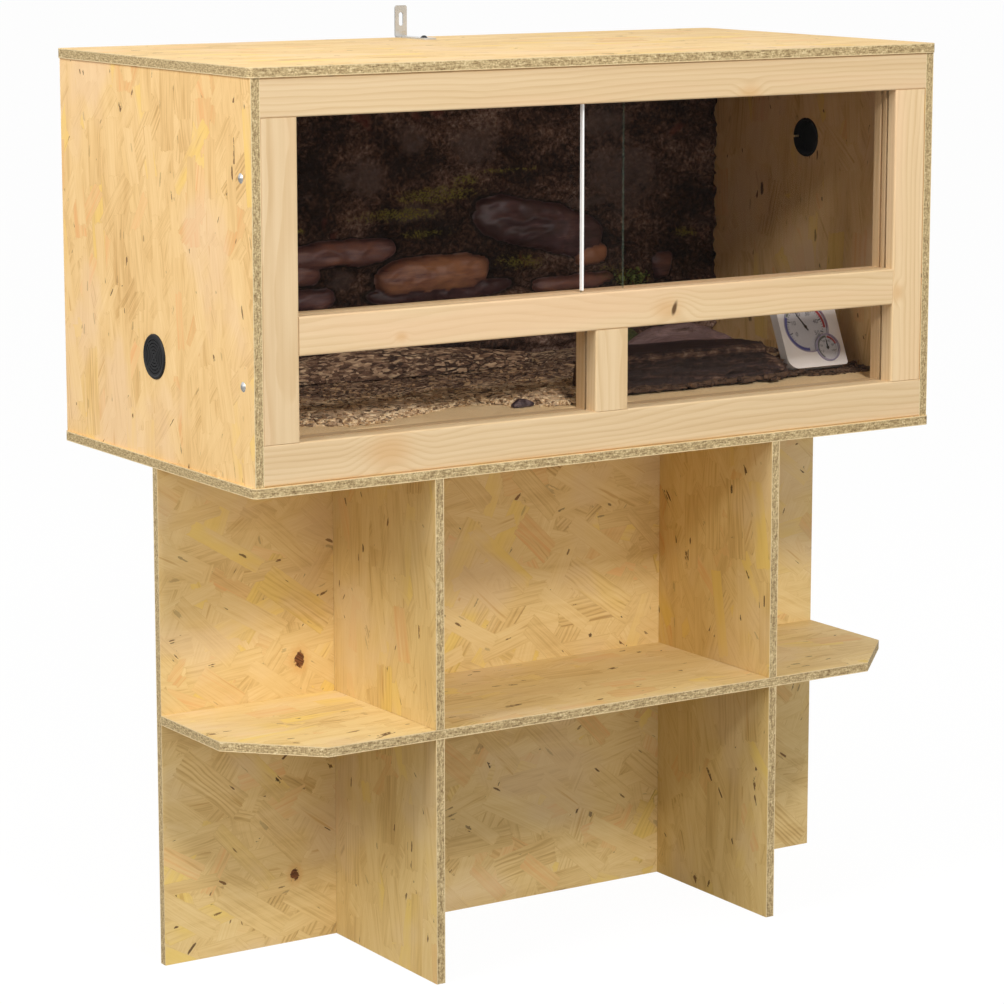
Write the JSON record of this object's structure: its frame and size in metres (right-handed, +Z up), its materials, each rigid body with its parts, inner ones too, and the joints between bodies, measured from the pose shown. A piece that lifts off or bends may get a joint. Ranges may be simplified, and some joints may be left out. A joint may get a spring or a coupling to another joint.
{
  "type": "terrarium cabinet on stand",
  "caption": "Strand board terrarium with a pine front frame, sliding glass, planted desert furnishing and an open crossed-board stand with a shelf.",
  "frame": {"origin": "on the floor, in the middle of the stand's footprint", "axes": "+X to the right seen from the front, +Y to the back, +Z up"},
  "size_m": [1, 0.5, 1.16],
  "materials": {
    "osb": "strand board, sanded, unfinished",
    "pine": "planed pine, clear oiled",
    "dowel": "beech dowel",
    "glass": "float glass with polished edges",
    "white_plastic": "white edge strip",
    "black_plastic": "moulded vent cap",
    "zinc_steel": "zinc-plated steel",
    "black_screw": "black phosphated steel",
    "backdrop": "foam rock wall, painted and grown over with moss",
    "sand": "loose natural sand",
    "litter": "bark mulch",
    "bark": "raw bark",
    "pebble": "dark river pebble",
    "moss": "dry moss",
    "gauge_plastic": "white moulded plastic",
    "dial_card": "printed dial",
    "lens": "clear lens",
    "needle": "black pointer"
  },
  "bodies": {
    "cabinet": {"stand_spine": "osb", "stand_left_divider": "osb", "stand_right_divider": "osb", "stand_shelf": "osb", "stand_dowels": "dowel", "bottom_panel": "osb", "top_panel": "osb", "left_side_panel": "osb", "right_side_panel": "osb", "back_panel": "osb", "carcass_dowels": "dowel", "top_rail": "pine", "bottom_rail": "pine", "left_stile": "pine", "right_stile": "pine", "middle_rail": "pine", "mullion": "pine", "frame_dowels": "dowel", "left_fixed_pane": "glass", "right_fixed_pane": "glass", "left_vent_cap": "black_plastic", "right_vent_cap": "black_plastic", "side_screws": "zinc_steel", "wall_bracket": "zinc_steel", "bracket_screw": "black_screw", "backdrop": "backdrop", "sand_bed": "sand", "bark_litter": "litter", "bark_slab": "bark", "rear_slab": "bark", "rear_log": "bark", "moss_cushion": "moss", "pebble": "pebble", "gauge_case": "gauge_plastic", "gauge_dials": "dial_card", "gauge_lenses": "lens"},
    "left_pane": {"left_sliding_pane": "glass"},
    "right_pane": {"right_sliding_pane": "glass", "pane_edge_strip": "white_plastic"},
    "temperature_pointer": {"temperature_needle": "needle"},
    "humidity_pointer": {"humidity_needle": "needle"}
  },
  "joints": [
    {"name": "left_pane_slide", "type": "slide", "parent": "cabinet", "child": "left_pane", "axis": [1, 0, 0], "range_m": [0, 0.41]},
    {"name": "right_pane_slide", "type": "slide", "parent": "cabinet", "child": "right_pane", "axis": [-1, 0, 0], "range_m": [0, 0.4]},
    {"name": "temperature_pointer_turn", "type": "hinge", "parent": "cabinet", "child": "temperature_pointer", "pos_m": [0.3925, -0.12398, 0.74595], "axis": [0, -0.9135, 0.4067], "range_deg": [-118, 96], "stiffness_Nm_per_rad": 0.0005},
    {"name": "humidity_pointer_turn", "type": "hinge", "parent": "cabinet", "child": "humidity_pointer", "pos_m": [0.4185, -0.13887, 0.71865], "axis": [0, -0.9135, 0.4067], "range_deg": [-120, 120], "stiffness_Nm_per_rad": 0.0005}
  ]
}
